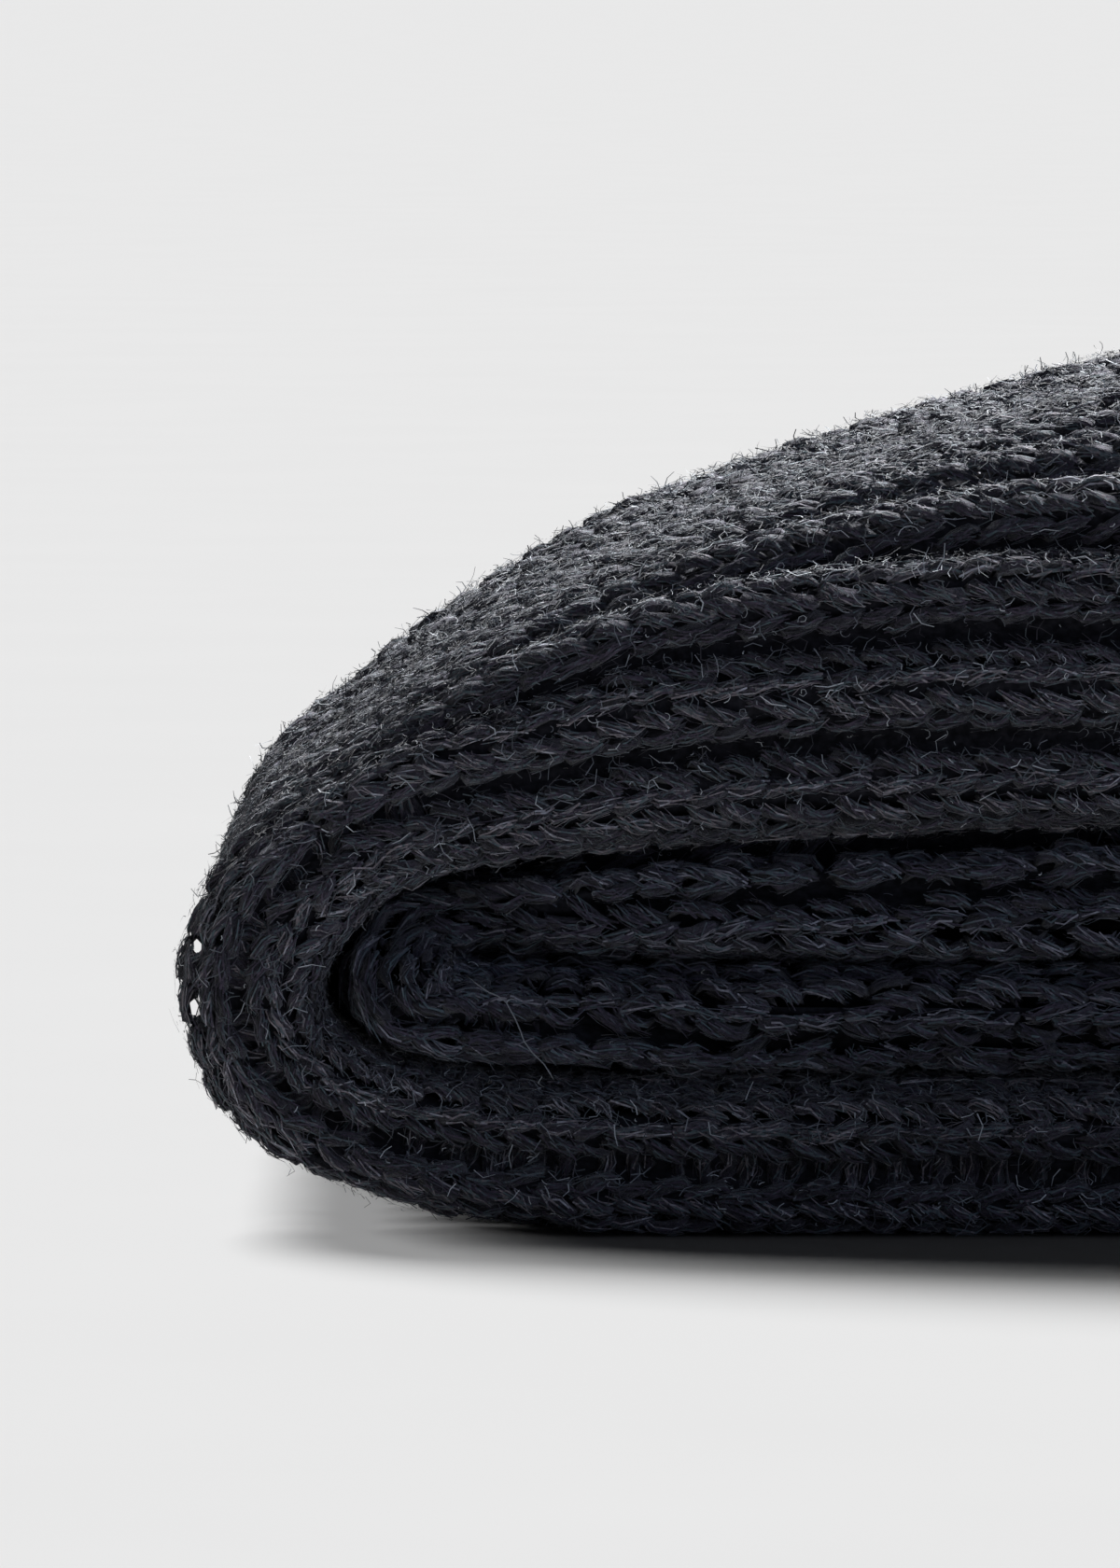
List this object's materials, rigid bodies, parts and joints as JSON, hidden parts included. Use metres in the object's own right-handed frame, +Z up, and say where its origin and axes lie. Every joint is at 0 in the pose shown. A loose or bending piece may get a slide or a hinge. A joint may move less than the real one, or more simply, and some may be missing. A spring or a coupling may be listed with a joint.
{
  "type": "folded pair of ribbed socks",
  "caption": "Pair of charcoal ribbed knit socks lying flat on each other and folded in half once, so that one sock wraps the other, resting on a table.",
  "frame": {"origin": "on the table, under the middle of the box that holds the folded pair", "axes": "+X from the fold to the open cuffs and toes, +Y from the near edge that shows the layers to the heels' edge, +Z up"},
  "size_m": [0.2026, 0.0954, 0.0447],
  "materials": {
    "charcoal_wool_rib": "2x2 rib knit in heathered charcoal wool, matt and slightly hairy",
    "charcoal_wool_rib_shaded": "the same knit on the sock folded inside, matt and slightly hairy"
  },
  "bodies": {
    "root": {"sock_outer": "charcoal_wool_rib", "sock_inner": "charcoal_wool_rib_shaded"}
  },
  "joints": []
}
